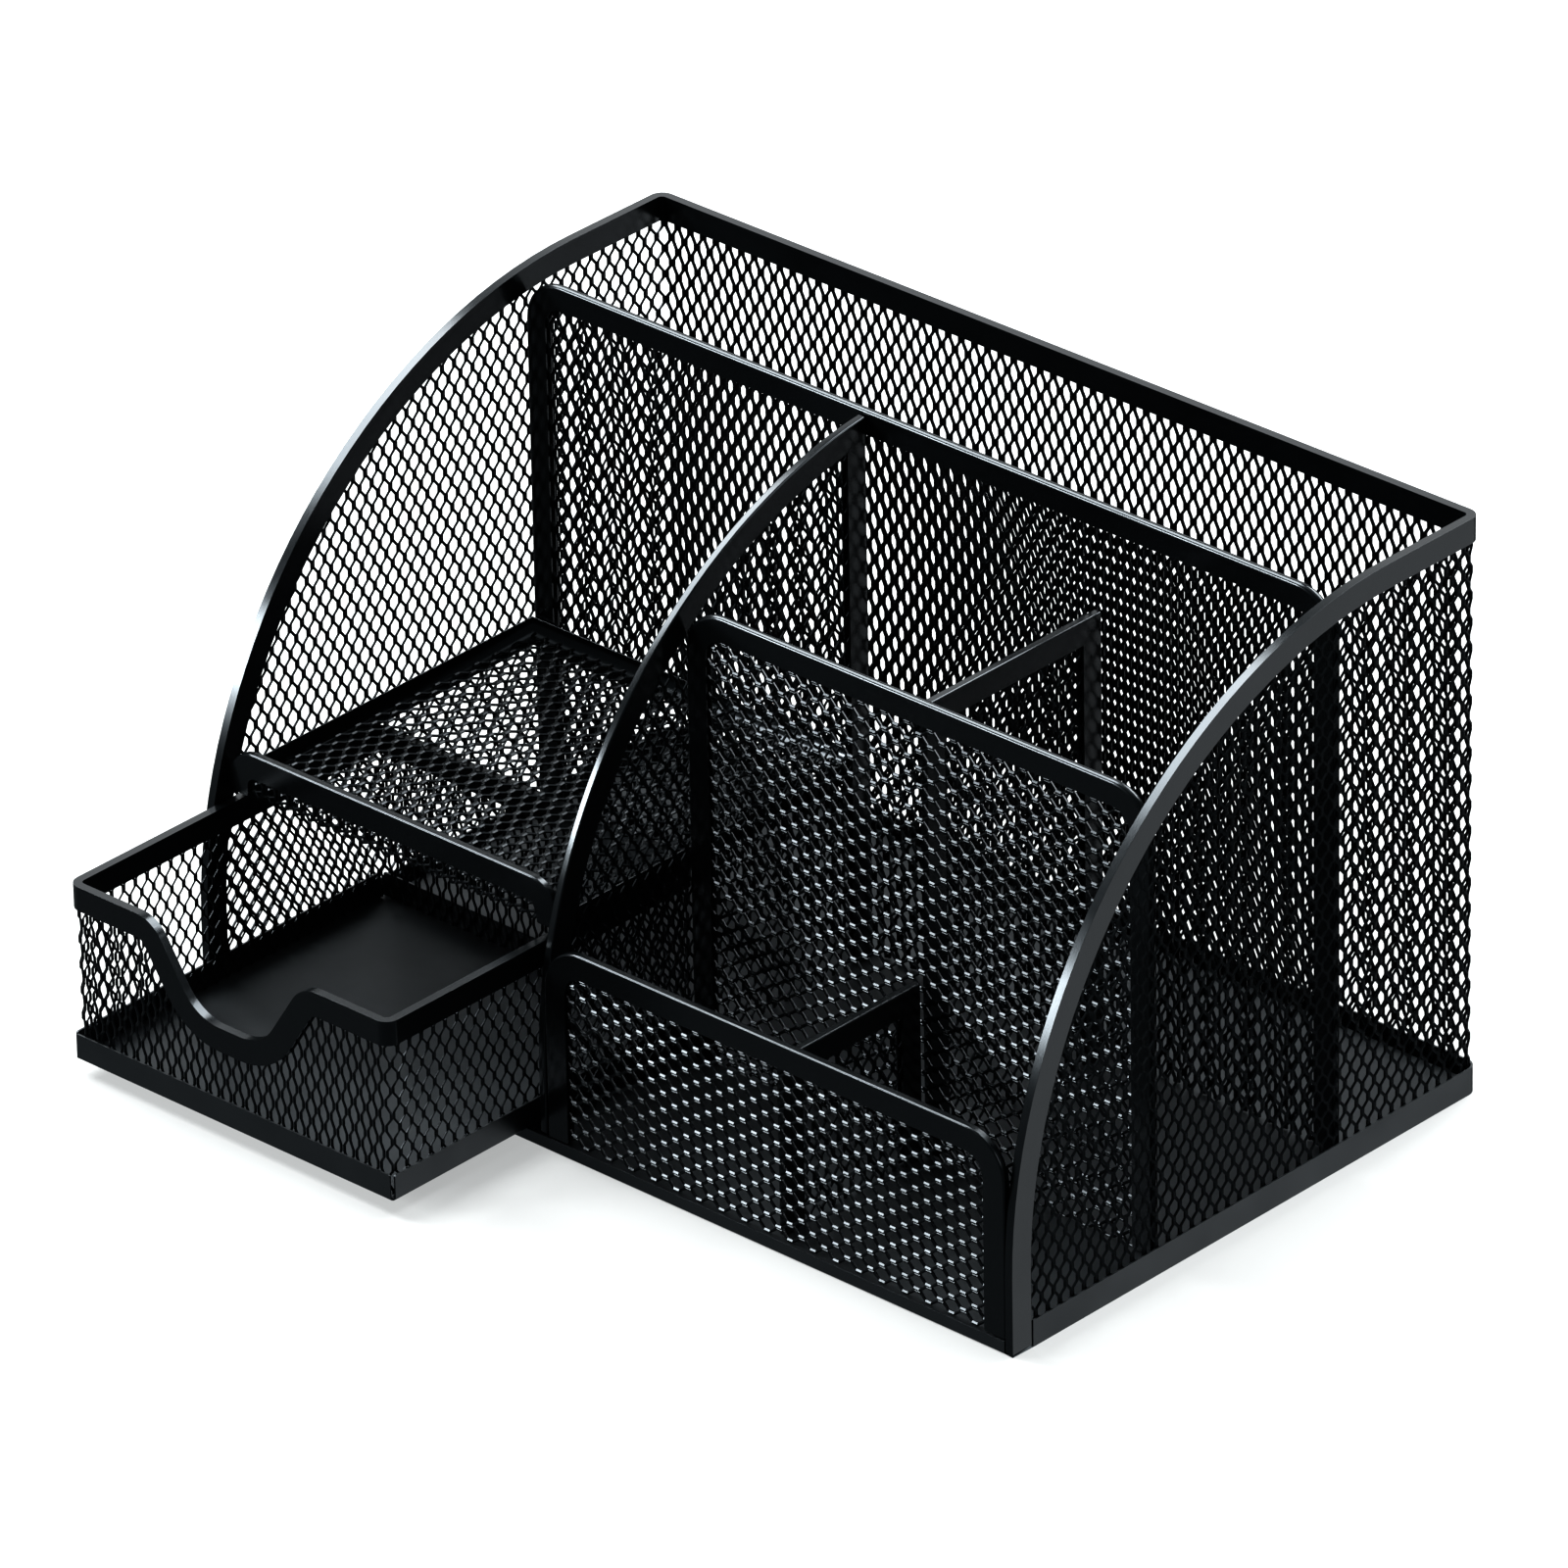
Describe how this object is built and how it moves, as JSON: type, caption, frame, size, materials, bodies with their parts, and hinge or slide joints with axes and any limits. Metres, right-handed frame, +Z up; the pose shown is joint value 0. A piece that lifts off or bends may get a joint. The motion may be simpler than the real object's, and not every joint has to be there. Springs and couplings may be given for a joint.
{
  "type": "desk organizer",
  "caption": "Black expanded-mesh desk organizer with quarter-round sides, a rear letter slot, pen and note bays, a lipped shelf and a sliding mesh drawer with a finger scoop",
  "frame": {"origin": "middle of the bounding box's bottom at rest, on the surface it stands on", "axes": "+X to the right along the front, +Y to the back, +Z up. The drawer slides out along -Y and stands partly open at rest."},
  "size_m": [0.22, 0.1794, 0.13],
  "materials": {
    "powder_coated_tray": "satin black powder coat on pressed sheet steel",
    "powder_coated_mesh": "satin black powder coat on expanded steel mesh",
    "powder_coated_strip": "satin black powder coat on folded steel strip"
  },
  "bodies": {
    "housing": {"base_tray": "powder_coated_tray", "housing_mesh": "powder_coated_mesh", "housing_rim": "powder_coated_strip", "rear_divider_mesh": "powder_coated_mesh", "rear_divider_rim": "powder_coated_strip", "centre_divider_mesh": "powder_coated_mesh", "centre_divider_rim": "powder_coated_strip", "middle_divider_mesh": "powder_coated_mesh", "middle_divider_rim": "powder_coated_strip", "rear_bay_divider_mesh": "powder_coated_mesh", "rear_bay_divider_rim": "powder_coated_strip", "front_panel_mesh": "powder_coated_mesh", "front_panel_rim": "powder_coated_strip", "front_bay_divider_mesh": "powder_coated_mesh", "front_bay_divider_rim": "powder_coated_strip", "shelf_mesh": "powder_coated_mesh", "shelf_rim": "powder_coated_strip", "shelf_edge_strip": "powder_coated_strip"},
    "drawer": {"drawer_tray": "powder_coated_tray", "drawer_mesh": "powder_coated_mesh", "drawer_rim": "powder_coated_strip"}
  },
  "joints": [
    {"name": "drawer_slide", "type": "slide", "parent": "housing", "child": "drawer", "axis": [0, -1, 0], "range_m": [-0.0465, 0.034]}
  ]
}
